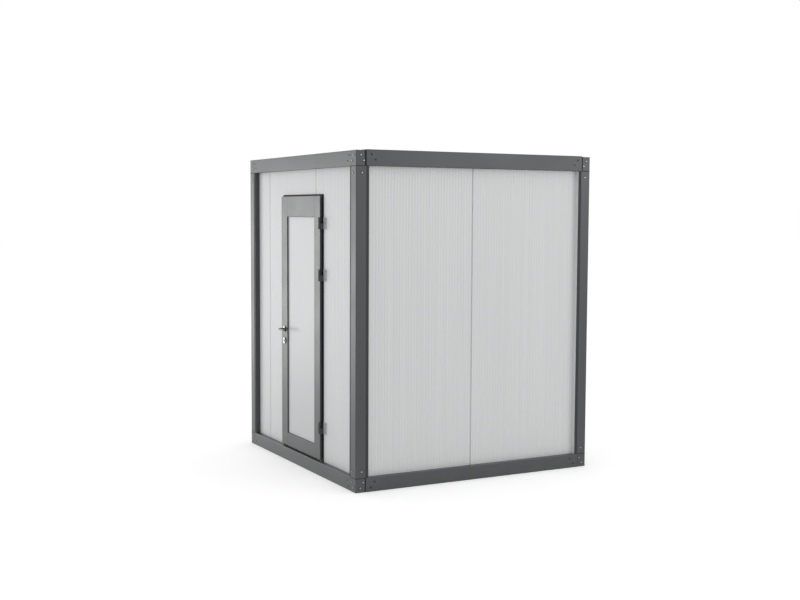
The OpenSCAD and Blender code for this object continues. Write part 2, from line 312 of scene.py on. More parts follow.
vinylLook = {"colour": (0.20, 0.21, 0.22), "colourB": (0.24, 0.25, 0.26), "cloudScale": 3,
             "speckScale": 260, "speckRange": (0.78, 0.82), "speckColour": (0.46, 0.47, 0.48),
             "grainScale": 320, "bump": 0.15 * mm, "roughness": (0.42, 0.55)}
floorVinyl = surfaceFinish("floorVinyl", vinylLook)

liningWhiteLook = dict(panelPaintLook, stretch=(1, 1, 1), cloudScale=2, roughness=(0.45, 0.6))
liningWhite = surfaceFinish("insideWhite", liningWhiteLook)
print("finishes made:", len(bpy.data.materials))


# Wall panels with fine upright ribs

panelLook = {"ribPitch": 26 * mm, "columnsPerRib": 8, "grooveDepth": 2.3 * mm, "flatShare": 0.5,
             "module": 1000 * mm, "seamHalf": 5 * mm, "seamFloor": 3.5 * mm, "seamDepth": 8 * mm}


def ribbedPanel(name, wall, left, right, nodes, alignRight=False, seamLeft=False, seamRight=False,
                doorway=None):
    low, high = wallBox(nodes[0], wall)
    outer, inner, z0, z1 = low.y, high.y, low.z, max(wallBox(node, wall)[1].z for node in nodes)
    pitch, flat = panelLook["ribPitch"], panelLook["flatShare"]
    ribs = ceil((right - left) / pitch)
    start = right - ribs * pitch if alignRight else left
    columns = ribs * panelLook["columnsPerRib"]
    mesh = bmesh.new()
    place = (Matrix.Translation((start + ribs * pitch / 2, outer, (z0 + z1) / 2)) @ outward
             @ Matrix.Diagonal((ribs * pitch, z1 - z0, 1, 1)))
    bmesh.ops.create_grid(mesh, x_segments=columns, y_segments=1, size=0.5, matrix=place)

    def cut(at, normal, clearOuter=False, clearInner=False):
        everything = mesh.verts[:] + mesh.edges[:] + mesh.faces[:]
        bmesh.ops.bisect_plane(mesh, geom=everything, dist=tiny, plane_co=at, plane_no=normal,
                               clear_outer=clearOuter, clear_inner=clearInner)

    cut((right, 0, 0), (1, 0, 0), clearOuter=True)
    cut((left, 0, 0), (1, 0, 0), clearInner=True)
    for inset in (panelLook["seamHalf"], panelLook["seamFloor"]):
        if seamLeft:
            cut((left + inset, 0, 0), (1, 0, 0))
        if seamRight:
            cut((right - inset, 0, 0), (1, 0, 0))
    if doorway:
        doorLeft, doorRight, doorTop = doorway
        if left < doorLeft < right:
            cut((doorLeft, 0, 0), (1, 0, 0))
        if left < doorRight < right:
            cut((doorRight, 0, 0), (1, 0, 0))
        cut((0, 0, doorTop), (0, 0, 1))
        inside = []
        for face in mesh.faces:
            middle = face.calc_center_median()
            if doorLeft < middle.x < doorRight and middle.z < doorTop:
                inside.append(face)
        bmesh.ops.delete(mesh, geom=inside, context="FACES")
    back = bmesh.ops.extrude_face_region(mesh, geom=mesh.faces[:])["geom"]
    backVerts = {item for item in back if isinstance(item, bmesh.types.BMVert)}
    for vert in mesh.verts:
        if vert in backVerts:
            vert.co.y = inner
            continue
        fromSeam = min(vert.co.x - left if seamLeft else right - left,
                       right - vert.co.x if seamRight else right - left)
        if fromSeam < panelLook["seamFloor"] + tiny:
            vert.co.y += panelLook["seamDepth"]
            continue
        if fromSeam < panelLook["seamHalf"] + tiny:
            continue
        step = ((vert.co.x - start) / pitch) % 1
        if step > flat:
            vert.co.y += panelLook["grooveDepth"] * sin(pi * (step - flat) / (1 - flat)) ** 2
    bmesh.ops.recalc_face_normals(mesh, faces=mesh.faces[:])
    mesh.transform(wallPlaces[wall])
    return makePiece(name, mesh, panelPaint, nodes=nodes)


narrowHigh = wallBox("front_wall_narrow")[1]
lockLow = wallBox("front_wall_lock_side")[0]
hingeHigh = wallBox("front_wall_hinge_side")[1]
headerLow, headerHigh = wallBox("front_wall_header")
seamOne = (narrowHigh.x + lockLow.x) / 2
seamTwo = seamOne + panelLook["module"]
doorway = (headerLow.x, headerHigh.x, headerLow.z)
ribbedPanel("frontPanelNarrow", "front", wallBox("front_wall_narrow")[0].x, seamOne, ["front_wall_narrow"],
            alignRight=True, seamRight=True)
ribbedPanel("frontPanelMiddle", "front", seamOne, seamTwo, ["front_wall_lock_side", "front_wall_header"],
            seamLeft=True, seamRight=True, doorway=doorway)
ribbedPanel("frontPanelRight", "front", seamTwo, hingeHigh.x, ["front_wall_hinge_side"],
            seamLeft=True, doorway=doorway)
for wall, firstNode, secondNode in (("right", "right_wall_front", "right_wall_back"),
                                    ("left", "left_wall_back", "left_wall_front"),
                                    ("back", "back_wall_right", "back_wall_left")):
    firstLow, firstHigh = wallBox(firstNode, wall)
    secondLow, secondHigh = wallBox(secondNode, wall)
    seam = (firstHigh.x + secondLow.x) / 2
    ribbedPanel(wall + "PanelFirst", wall, firstLow.x, seam, [firstNode], alignRight=True, seamRight=True)
    ribbedPanel(wall + "PanelSecond", wall, seam, secondHigh.x, [secondNode], seamLeft=True)
print("wall panels made")


# Frame: beams with rounded folds, corner blocks, posts, bolts

beamLook = {"fold": 5 * mm, "foldSteps": 4, "holeRadius": 8 * mm, "holeDepth": 4.5 * mm,
            "screwRadius": 6.5 * mm, "screwHeight": 4 * mm,
            "sideHoles": ((42 * mm, 36 * mm), (75 * mm, 76 * mm)),
            "endHoles": ((34 * mm, 36 * mm), (56 * mm, 76 * mm))}
socketLook = {"rim": 0.3, "wall": 0.32, "taper": 0.03, "depth": 0.5}  # shares of a screw head's size
blockLook = {"corner": 4 * mm, "edge": 2.6 * mm,
             "boltSpots": ((40 * mm, 36 * mm), (64.5 * mm, 78 * mm)), "postBolt": (50 * mm, 51 * mm),
             "washerRadius": 9.5 * mm, "washerHeight": 1.2 * mm, "washerSide": 0.7, "washerChamfer": 0.5 * mm,
             "headRadius": 6.2 * mm, "headHeight": 3.5 * mm, "headRim": 0.8 * mm}
postLook = {"corner": 4 * mm, "edge": 0.8 * mm, "stripHeight": 0.5 * mm, "stripStep": 3 * mm,
            "stripInset": 1 * mm, "stripBack": 1 * mm, "stripEdge": 0.2 * mm}

screws = bmesh.new()


def addSocketScrew(mesh, place, radius, height, sides=20):
    # A round head with a round socket
    head = bmesh.new()
    bmesh.ops.create_cone(head, cap_ends=True, segments=sides, radius1=radius, radius2=radius,
                          depth=height, matrix=Matrix.Translation((0, 0, height / 2)))
    rim = [edge for edge in head.edges if all(vert.co.z > height / 2 for vert in edge.verts)]
    bevelEdges(head, rim, min(radius, height) * socketLook["rim"], 2)
    top = max(head.faces, key=lambda face: face.calc_center_median().z)
    bmesh.ops.inset_region(head, faces=[top], thickness=radius * socketLook["wall"], depth=0)
    upward = [face for face in head.faces if face.normal.z > 0.9]
    top = min(upward, key=lambda face: face.calc_center_median().xy.length)
    bmesh.ops.inset_region(head, faces=[top], thickness=radius * socketLook["taper"],
                           depth=-height * socketLook["depth"])
    addMesh(mesh, head, place)


for wall in wallPlaces:
    side = wall in ("left", "right")
    for level in ("base", "roof"):
        node = level + "_beam_" + wall
        low, high = wallBox(node, wall)
        mesh = bmesh.new()
        addBlock(mesh, low, high, place=Matrix())
        folds = [edge for edge in mesh.edges if all(abs(vert.co.y - low.y) < tiny for vert in edge.verts)
                 and abs(edge.verts[0].co.x - edge.verts[1].co.x) > tiny]
        bevelEdges(mesh, folds, beamLook["fold"], beamLook["foldSteps"])
        mesh.transform(wallPlaces[wall])
        beam = makePiece(level + "Beam" + wall.capitalize(), mesh, framePaint, nodes=[node])
        cutter = bmesh.new()
        for end in (-1, 1):
            for alongEnd, fromEdge in beamLook["sideHoles" if side else "endHoles"]:
                x = end * (high.x - alongEnd)
                z = low.z + fromEdge if level == "base" else high.z - fromEdge
                spot = wallPlaces[wall] @ Matrix.Translation((x, low.y, z)) @ outward
                depth = beamLook["holeDepth"]
                bmesh.ops.create_cone(cutter, cap_ends=True, segments=24, radius1=beamLook["holeRadius"],
                                      radius2=beamLook["holeRadius"], depth=2 * depth, matrix=spot)
                addSocketScrew(screws, spot @ Matrix.Translation((0, 0, -depth)), beamLook["screwRadius"],
                               beamLook["screwHeight"])
        cutAway(beam, cutter)
makePiece("beamScrews", screws, darkScrew)


def atOuterCorner(point):
    return abs(abs(point.x) - cornerHigh.x) < tiny and abs(abs(point.y) - cornerHigh.y) < tiny


for name, node in (("baseCorners", "base_corners"), ("roofCorners", "roof_corners")):
    makePiece(name, softCopy(node, blockLook["edge"], 2, blockLook["corner"], atOuterCorner), framePaint,
              nodes=[node])
for name in ("FrontLeft", "FrontRight", "BackLeft", "BackRight"):
    node = "post_" + ("front" if "Front" in name else "back") + ("_left" if "Left" in name else "_right")
    makePiece("post" + name, softCopy(node, postLook["edge"], 2, postLook["corner"], atOuterCorner),
              framePaint, nodes=[node])

bolts = bmesh.new()
# Dark washers under the bolt heads; their darkness is painted shade round the heads
shadeWashers = bmesh.new()


def addHexBolt(place):
    radius, height = blockLook["washerRadius"], blockLook["washerHeight"]
    addSpun(shadeWashers, ((0, 0), (radius, 0), (radius, height * blockLook["washerSide"]),
                      (radius - blockLook["washerChamfer"], height), (0, height)), place, steps=24)
    head = bmesh.new()
    radius, depth = blockLook["headRadius"], blockLook["headHeight"]
    bmesh.ops.create_cone(head, cap_ends=True, segments=6, radius1=radius, radius2=radius, depth=depth,
                          matrix=Matrix.Translation((0, 0, height + depth / 2)))
    rim = [edge for edge in head.edges if all(vert.co.z > height + depth / 2 for vert in edge.verts)]
    bevelEdges(head, rim, blockLook["headRim"], 2)
    addMesh(bolts, head, place)


baseTop = cornerHigh.z
roofLow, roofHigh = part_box("roof_corners")
for wall, half in wallHalf.items():
    for end in (-1, 1):
        for fromCorner, fromEdge in blockLook["boltSpots"]:
            for z in (cornerLow.z + fromEdge, roofHigh.z - fromEdge):
                x = end * (half - fromCorner)
                addHexBolt(wallPlaces[wall] @ Matrix.Translation((x, 0, z)) @ outward)
        fromCorner, fromJoint = blockLook["postBolt"]
        for z in (baseTop + fromJoint, roofLow.z - fromJoint):
            x = end * (half - fromCorner)
            addHexBolt(wallPlaces[wall] @ Matrix.Translation((x, 0, z)) @ outward)
makePiece("frameBolts", bolts, boltZinc)
makePiece("boltWashersShade", shadeWashers, darkScrew)

# Painted shade: near-black sheets on the posts' stepped-back flanges stand in for the shade in that recess
flangeShade = bmesh.new()
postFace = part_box("floor_cassette")[0].x - cornerLow.x
postWidth = wallBox("front_wall_narrow")[0].x - cornerLow.x
for wall, half in wallHalf.items():
    for end in (-1, 1):
        reach = sorted((end * (half - postFace - postLook["stripInset"]),
                        end * (half - postWidth + postLook["stripInset"])))
        step = postLook["stripStep"]
        addBlock(flangeShade, (reach[0], step - postLook["stripHeight"], baseTop),
                 (reach[1], step + postLook["stripBack"], roofLow.z),
                 wallPlaces[wall], postLook["stripEdge"], 1)
makePiece("postFlangeShade", flangeShade, flangeShadePaint)

# Painted shade: dark sheets where posts and side beams meet the corner blocks stand in for the shade in the
# gaps between them
gapShadeLook = {"half": 2.6 * mm, "proud": 0.25 * mm, "inset": 1 * mm, "corner": 4 * mm,
             "baseWidth": 6 * mm, "roofWidth": 14 * mm, "beamDepth": 2 * mm}
gapShade = bmesh.new()
for right in (-1, 1):
    for back in (-1, 1):
        outer = Vector((right * (cornerHigh.x + gapShadeLook["proud"]),
                        back * (cornerHigh.y + gapShadeLook["proud"])))
        inner = Vector((right * (cornerHigh.x - postFace + gapShadeLook["inset"]),
                        back * (cornerHigh.y - postFace + gapShadeLook["inset"])))
        for z in (baseTop, roofLow.z):
            made = addBlock(gapShade, (min(outer.x, inner.x), min(outer.y, inner.y), z - gapShadeLook["half"]),
                            (max(outer.x, inner.x), max(outer.y, inner.y), z + gapShadeLook["half"]), Matrix())
            uprights = {edge for vert in made for edge in vert.link_edges
                        if abs(edge.verts[0].co.z - edge.verts[1].co.z) > tiny}
            bevelEdges(gapShade, uprights, gapShadeLook["corner"], 4)
for wall in ("left", "right"):
    for end in (-1, 1):
        beamEnd = wallHalf[wall] - postFace
        for z0, z1, width in ((cornerLow.z, baseTop, gapShadeLook["baseWidth"]),
                              (roofLow.z, roofHigh.z, gapShadeLook["roofWidth"])):
            reach = sorted((end * beamEnd, end * (beamEnd + width)))
            addBlock(gapShade, (reach[0], -gapShadeLook["proud"], z0 + gapShadeLook["inset"]),
                     (reach[1], gapShadeLook["beamDepth"], z1 - gapShadeLook["inset"]), wallPlaces[wall])
makePiece("jointGapShade", gapShade, sealRubberAndShade)

# Painted light: pale sheets on the side walls' post returns, lighter than the anthracite, stand in for the
# light falling on those returns
litReturnLook = {"thickness": 1.2 * mm, "from": 4 * mm, "edge": 0.3 * mm, "tuck": 1 * mm, "endGap": 1 * mm}
litReturnPaintLook = dict(panelPaintLook, colour=(0.64, 0.65, 0.65), colourB=(0.67, 0.68, 0.68))
litReturnPaint = surfaceFinish("litReturnPaint", litReturnPaintLook)
litReturns = bmesh.new()
for wall in ("left", "right"):
    panelDepth = wallBox(wall + "_wall_front", wall)[0].y
    for end in (-1, 1):
        reach = sorted((end * (wallHalf[wall] - postWidth),
                        end * (wallHalf[wall] - postWidth - litReturnLook["thickness"])))
        addBlock(litReturns, (reach[0], litReturnLook["from"], baseTop + litReturnLook["endGap"]),
                 (reach[1], panelDepth + litReturnLook["tuck"], roofLow.z - litReturnLook["endGap"]),
                 wallPlaces[wall], litReturnLook["edge"], 1)
makePiece("postReturnLight", litReturns, litReturnPaint)
print("frame made")


# Door lining, leaf and infill

liningLook = {"edge": 1 * mm, "lip": 2.2 * mm, "cover": 13 * mm, "gasketProud": 1.5 * mm, "foot": 11 * mm,
              "gasketRounding": 0.7 * mm}
for name, node in (("doorLiningLock", "door_jamb_lock"), ("doorLiningHinge", "door_jamb_hinge"),
                   ("doorLiningHead", "door_head")):
    makePiece(name, softCopy(node, liningLook["edge"], 2), doorPaint, nodes=[node])
liningLow = wallBox("door_jamb_lock")[0]
liningHigh = wallBox("door_head")[1]
gasket = bmesh.new()
lip, cover, proud = liningLook["lip"], liningLook["cover"], liningLook["gasketProud"]
gasketFront, gasketBack = liningLow.y - proud, liningLow.y + 2 * proud
# Black rubber seal on the lining, wide enough to also be painted shade in the gap round the leaf; the last
# strip, along the foot, is painted shade on the threshold's front
for x0, x1, z0, z1 in ((liningLow.x - lip, liningLow.x + cover, liningLow.z, liningHigh.z + lip),
                       (liningHigh.x - cover, liningHigh.x + lip, liningLow.z, liningHigh.z + lip),
                       (liningLow.x, liningHigh.x, liningHigh.z - cover, liningHigh.z + lip),
                       (liningLow.x, liningHigh.x, liningLow.z + lip, liningLow.z + liningLook["foot"])):
    addBlock(gasket, (x0, gasketFront, z0), (x1, gasketBack, z1), front, liningLook["gasketRounding"], 2)
makePiece("liningGasketAndShade", gasket, sealRubberAndShade)

leafLook = {"flange": 16 * mm, "overlap": 20 * mm, "footGap": 5 * mm, "edge": 1.8 * mm, "rebate": 1 * mm,
            "gasket": 2.5 * mm, "gasketRound": 0.8 * mm,
            "beadWidth": 18 * mm, "beadDepth": 14 * mm, "beadRound": 2 * mm}
leafNodes = ("door_stile_lock", "door_stile_hinge", "door_rail_top", "door_rail_bottom")
leafLow = wallBox("door_stile_lock")[0]
leafHigh = wallBox("door_stile_hinge")[1]
infillLow, infillHigh = wallBox("door_infill")
leaf = bmesh.new()
coreLow = leafLow + Vector((leafLook["overlap"], 0, leafLook["footGap"]))
coreHigh = leafHigh - Vector((leafLook["overlap"], 0, leafLook["overlap"]))
flangeBack = leafLow.y + leafLook["flange"]
for node in leafNodes:
    low, high = wallBox(node)
    addBlock(leaf, low, (high.x, flangeBack, high.z), front, leafLook["edge"], 3)
    addBlock(leaf, (max(low.x, coreLow.x), flangeBack - leafLook["rebate"], max(low.z, coreLow.z)),
             (min(high.x, coreHigh.x), high.y, min(high.z, coreHigh.z)), front, leafLook["edge"], 2)
makePiece("leafFrame", leaf, doorPaint, "door", leafNodes)
lockSpot, leverSpot = wallBox("lock_cylinder"), wallBox("lever_outside")
lockX, lockZ = (lockSpot[0].x + lockSpot[1].x) / 2, (lockSpot[0].z + lockSpot[1].z) / 2

beads = bmesh.new()
rubberBeads = bmesh.new()
wide = leafLook["beadWidth"]
for x0, x1, z0, z1 in ((infillLow.x, infillLow.x + wide, infillLow.z, infillHigh.z),
                       (infillHigh.x - wide, infillHigh.x, infillLow.z, infillHigh.z),
                       (infillLow.x + wide, infillHigh.x - wide, infillLow.z, infillLow.z + wide),
                       (infillLow.x + wide, infillHigh.x - wide, infillHigh.z - wide, infillHigh.z)):
    addBlock(beads, (x0, infillHigh.y, z0), (x1, infillHigh.y + leafLook["beadDepth"], z1),
             front, leafLook["beadRound"], 3)
wide = leafLook["gasket"]
for x0, x1, z0, z1 in ((infillLow.x, infillLow.x + wide, infillLow.z, infillHigh.z),
                       (infillHigh.x - wide, infillHigh.x, infillLow.z, infillHigh.z),
                       (infillLow.x, infillHigh.x, infillLow.z, infillLow.z + wide),
                       (infillLow.x, infillHigh.x, infillHigh.z - wide, infillHigh.z)):
    addBlock(rubberBeads, (x0, infillLow.y - wide / 2, z0), (x1, infillLow.y + wide / 4, z1),
             front, leafLook["gasketRound"], 2)
makePiece("infillBeads", beads, doorPaint, "door")
greyRubberLook = dict(rubberLook, colour=(0.13, 0.135, 0.14), colourB=(0.15, 0.155, 0.16))
greyRubber = surfaceFinish("greyRubber", greyRubberLook)
makePiece("infillGasket", rubberBeads, greyRubber, "door")
print("door leaf made")


# Hinges

hingeLook = {"height": 95 * mm, "gap": 2 * mm, "knuckle": 9.5 * mm, "rim": 1 * mm,
             "pin": 5 * mm, "pinShort": 0.2 * mm, "pinRim": 0.3 * mm,
             "lug": 9.5 * mm, "lugShort": 2 * mm, "flap": 4 * mm, "flapUnderLug": 5 * mm, "leafBite": 1 * mm,
             "edge": 0.8 * mm, "screw": 4.5 * mm, "screwHeight": 1 * mm,
             "flapScrews": (16 * mm, 47.5 * mm, 79 * mm), "wallScrewInset": 20 * mm,
             "leafScrewInset": 14 * mm, "heights": (388 * mm, 1628 * mm, 2045 * mm)}
frameHinges = bmesh.new()
frameKnuckles = bmesh.new()
leafHinges = bmesh.new()
hingeScrews = bmesh.new()
leafHingeScrews = bmesh.new()
wallFlapHigh = wallBox("hinges_frame_side")[1]
leafFlapLow, leafFlapHigh = wallBox("hinges_leaf_side")
pinX = leafFlapHigh.x - hingeLook["knuckle"]
pinDepth = leafFlapLow.y + hingeLook["knuckle"]


def knuckleOutline(radius, height, rim):
    # Half the section of a round bar with chamfered ends
    return ((0, 0), (radius - rim, 0), (radius, rim),
            (radius, height - rim), (radius - rim, height), (0, height))


outsideLeaf = leafLow.y
flap = hingeLook["flap"]
halfKnuckle = (hingeLook["height"] - hingeLook["gap"]) / 2
knuckle = knuckleOutline(hingeLook["knuckle"], halfKnuckle, hingeLook["rim"])
pinHeight = halfKnuckle + hingeLook["gap"] - hingeLook["pinShort"]
wallFlapLeft = pinX + hingeLook["lug"] - hingeLook["flapUnderLug"]
for middle in hingeLook["heights"]:
    bottom = middle - hingeLook["height"] / 2
    top = bottom + hingeLook["height"]
    upper = bottom + halfKnuckle + hingeLook["gap"]
    spot = front @ Matrix.Translation((pinX, pinDepth, bottom))
    addSpun(frameKnuckles, knuckle, spot)
    addSpun(frameKnuckles, knuckleOutline(hingeLook["pin"], pinHeight, hingeLook["pinRim"]), spot)
    addBlock(frameKnuckles, (pinX, pinDepth, bottom),
             (pinX + hingeLook["lug"], wallFlapHigh.y - hingeLook["lugShort"], bottom + halfKnuckle),
             front, hingeLook["edge"], 2)
    addBlock(frameHinges, (wallFlapLeft, wallFlapHigh.y - flap, bottom),
             (wallFlapHigh.x, wallFlapHigh.y, top), front, hingeLook["edge"], 2)
    addSpun(leafHinges, knuckle, spot @ Matrix.Translation((0, 0, halfKnuckle + hingeLook["gap"])))
    addBlock(leafHinges, (leafFlapLow.x, outsideLeaf - flap, bottom), (leafHigh.x, outsideLeaf, top),
             front, hingeLook["edge"], 2)
    addBlock(leafHinges, (leafHigh.x - flap, pinDepth, upper),
             (pinX, outsideLeaf - hingeLook["leafBite"], top), front, hingeLook["edge"], 2)
    for rise in hingeLook["flapScrews"]:
        for mesh, x, face in ((hingeScrews, wallFlapHigh.x - hingeLook["wallScrewInset"], wallFlapHigh.y),
                              (leafHingeScrews, leafFlapLow.x + hingeLook["leafScrewInset"], outsideLeaf)):
            addSocketScrew(mesh, front @ Matrix.Translation((x, face - flap, bottom + rise)) @ outward,
                           hingeLook["screw"], hingeLook["screwHeight"], 16)
hingeGreyLook = dict(zincLook, colour=(0.46, 0.47, 0.475), colourB=(0.50, 0.51, 0.515), metal=0)
hingeGrey = surfaceFinish("hingeGrey", hingeGreyLook)
makePiece("hingeKnucklesWall", frameKnuckles, doorPaint)
makePiece("hingesWall", frameHinges, hingeGrey, nodes=["hinges_frame_side"])
makePiece("hingesLeaf", leafHinges, doorPaint, "door", ["hinges_leaf_side"])
makePiece("hingeScrewsWall", hingeScrews, boltZinc)
makePiece("hingeScrewsLeaf", leafHingeScrews, boltZinc, "door")
print("hinges made")


# Roses, lock and levers

roseLook = {"radius": 26 * mm, "height": 9 * mm, "base": 7 * mm, "baseInset": 0.4 * mm, "round": 1.5 * mm,
            "roundSteps": 4, "collar": 14 * mm, "collarSlope": 0.6 * mm, "step": 1 * mm, "neckGap": 0.05 * mm,
            "sides": 48}
lockLook = {"radius": 8.5 * mm, "rim": 0.8 * mm, "slotHalf": 0.8 * mm, "slotDepth": 3 * mm,
            "slotBelow": 5 * mm, "slotAbove": 4 * mm, "sides": 40}
leverLook = {"neck": 10 * mm, "neckRim": 0.8 * mm, "grip": 9 * mm, "bend": 12 * mm, "bendSteps": 8,
             "length": 116 * mm, "reach": 51.5 * mm, "endSteps": 5, "depthIn": 4.5 * mm, "sides": 28,
             "spindle": 4 * mm, "spindleRim": 0.2 * mm}
leafBack = wallBox("door_stile_lock")[1].y
leverZ = (leverSpot[0].z + leverSpot[1].z) / 2
inward = Matrix.Rotation(-quarterTurn, 4, "X")


def roseCapOutline(bore):
    # A metal cap with a rounded rim and a low collar round the bore
    radius, rounding = roseLook["radius"], roseLook["round"]
    bottom, shoulder, top = roseLook["base"], roseLook["height"] - roseLook["step"], roseLook["height"]
    points = [(bore, bottom), (radius, bottom)]
    for i in range(roseLook["roundSteps"] + 1):
        angle = i / roseLook["roundSteps"] * quarterTurn
        points.append((radius - rounding + rounding * cos(angle),
                       shoulder - rounding + rounding * sin(angle)))
    points += [(roseLook["collar"] + roseLook["collarSlope"], shoulder), (roseLook["collar"], top),
               (bore, top), (bore, bottom)]
    return points


def roseShadeBaseOutline(bore):
    # The dark base under the cap, its darkness painted shade for the rose's shaded side
    radius, top = roseLook["radius"] - roseLook["baseInset"], roseLook["base"]
    return ((bore, 0), (radius, 0), (radius, top), (bore, top), (bore, 0))


roses = bmesh.new()
roseShadeBases = bmesh.new()
for z, bore in ((leverZ, leverLook["neck"] + roseLook["neckGap"]), (lockZ, lockLook["radius"])):
    for depth, facing in ((outsideLeaf, outward), (leafBack, inward)):
        spot = front @ Matrix.Translation((lockX, depth, z)) @ facing
        addSpun(roses, roseCapOutline(bore), spot, roseLook["sides"])
        addSpun(roseShadeBases, roseShadeBaseOutline(bore), spot, roseLook["sides"])
makePiece("handleRoses", roses, brushedSteelShaded, "door", ["door_roses"])
makePiece("roseShadeBases", roseShadeBases, darkScrew, "door")

cylinder = bmesh.new()
lockLength = lockSpot[1].y - lockSpot[0].y
addSpun(cylinder, knuckleOutline(lockLook["radius"], lockLength, lockLook["rim"]),
        front @ Matrix.Translation((lockX, lockSpot[1].y, lockZ)) @ outward, lockLook["sides"])
cylinderPiece = makePiece("lockCylinder", cylinder, brushedSteelShaded, "door", ["lock_cylinder"])
keySlots = bmesh.new()
slotHalf, slotDepth = lockLook["slotHalf"], lockLook["slotDepth"]
for depth in (lockSpot[0].y, lockSpot[1].y):
    addBlock(keySlots, (lockX - slotHalf, depth - slotDepth, lockZ - lockLook["slotBelow"]),
             (lockX + slotHalf, depth + slotDepth, lockZ + lockLook["slotAbove"]))
cutAway(cylinderPiece, keySlots)


def addLever(mesh, place):
    # One round bar: out from the leaf, round the bend, along the grip and in to a domed end
    part = bmesh.new()
    reach, bend, grip = leverLook["reach"], leverLook["bend"], leverLook["grip"]
    bmesh.ops.create_circle(part, cap_ends=True, segments=leverLook["sides"], radius=grip, matrix=outward)
    startCap = part.faces[:][0]
    face = startCap

    def lengthen():
        # Extrudes the end face; the face before it would be left inside the bar
        nonlocal face
        made = bmesh.ops.extrude_face_region(part, geom=[face])["geom"]
        newFace = [item for item in made if isinstance(item, bmesh.types.BMFace)][0]
        if face.is_valid and face != startCap:
            bmesh.ops.delete(part, geom=[face], context="FACES_ONLY")
        face = newFace

    def push(shift, shrink=1.0):
        lengthen()
        middle = face.calc_center_median()
        bmesh.ops.scale(part, vec=(shrink, shrink, shrink), space=Matrix.Translation(-middle),
                        verts=face.verts[:])
        bmesh.ops.translate(part, vec=shift, verts=face.verts[:])

    push((0, -(reach - bend), 0))
    bendTurn = Matrix.Rotation(quarterTurn / leverLook["bendSteps"], 3, "Z")
    for i in range(leverLook["bendSteps"]):
        lengthen()
        bmesh.ops.rotate(part, cent=(bend, -(reach - bend), 0), matrix=bendTurn, verts=face.verts[:])
    push((leverLook["length"] - bend, 0, 0))
    endSteps = leverLook["endSteps"]
    for i in range(1, endSteps):
        before, after = radians(90 * (i - 1) / endSteps), radians(90 * i / endSteps)
        push((grip * (sin(after) - sin(before)), 0, 0), cos(after) / cos(before))
    bmesh.ops.recalc_face_normals(part, faces=part.faces[:])
    addMesh(mesh, part, place)


outsideLever = bmesh.new()
neckStart = Matrix.Translation((lockX, outsideLeaf - leverLook["depthIn"], leverZ))
addLever(outsideLever, front @ neckStart)
neckLength = leverLook["reach"] - leverLook["bend"]
neck = knuckleOutline(leverLook["neck"], neckLength, leverLook["neckRim"])
addSpun(outsideLever, neck, front @ neckStart @ outward)
spindleLength = leafBack - outsideLeaf + 2 * leverLook["depthIn"]
addSpun(outsideLever, knuckleOutline(leverLook["spindle"], spindleLength, leverLook["spindleRim"]),
        front @ neckStart @ inward, 12)
makePiece("leverOutside", outsideLever, leverSteelShaded, "lever", ["lever_outside"])
insideLever = bmesh.new()
neckEnd = Matrix.Translation((lockX, leafBack + leverLook["depthIn"], leverZ))
addLever(insideLever, front @ neckEnd @ Matrix.Diagonal((1, -1, 1, 1)))
addSpun(insideLever, neck, front @ neckEnd @ inward)
bmesh.ops.recalc_face_normals(insideLever, faces=insideLever.faces[:])
makePiece("leverInside", insideLever, leverSteelShaded, "lever", ["lever_inside"])
print("handles made")


# Threshold, roof and the nodes that stay as they are

thresholdLook = {"ridges": 6, "ridgeHeight": 1.2 * mm, "ridgeWidth": 3 * mm, "ridgeRound": 0.5 * mm,
                 "ridgeInset": 1 * mm, "ridgeSunk": 1 * mm, "edge": 0.8 * mm}
low, high = wallBox("door_threshold")
threshold = bmesh.new()
plateTop = high.z - thresholdLook["ridgeHeight"]
addBlock(threshold, low, (high.x, high.y, plateTop), front, thresholdLook["edge"], 2)
for i in range(thresholdLook["ridges"]):
    middle = low.y + (high.y - low.y) * (i + 0.5) / thresholdLook["ridges"]
    ridgeHalf, inset = thresholdLook["ridgeWidth"] / 2, thresholdLook["ridgeInset"]
    addBlock(threshold, (low.x + inset, middle - ridgeHalf, plateTop - thresholdLook["ridgeSunk"]),
             (high.x - inset, middle + ridgeHalf, high.z), front, thresholdLook["ridgeRound"], 2)
makePiece("doorThreshold", threshold, thresholdAluminium, nodes=["door_threshold"])

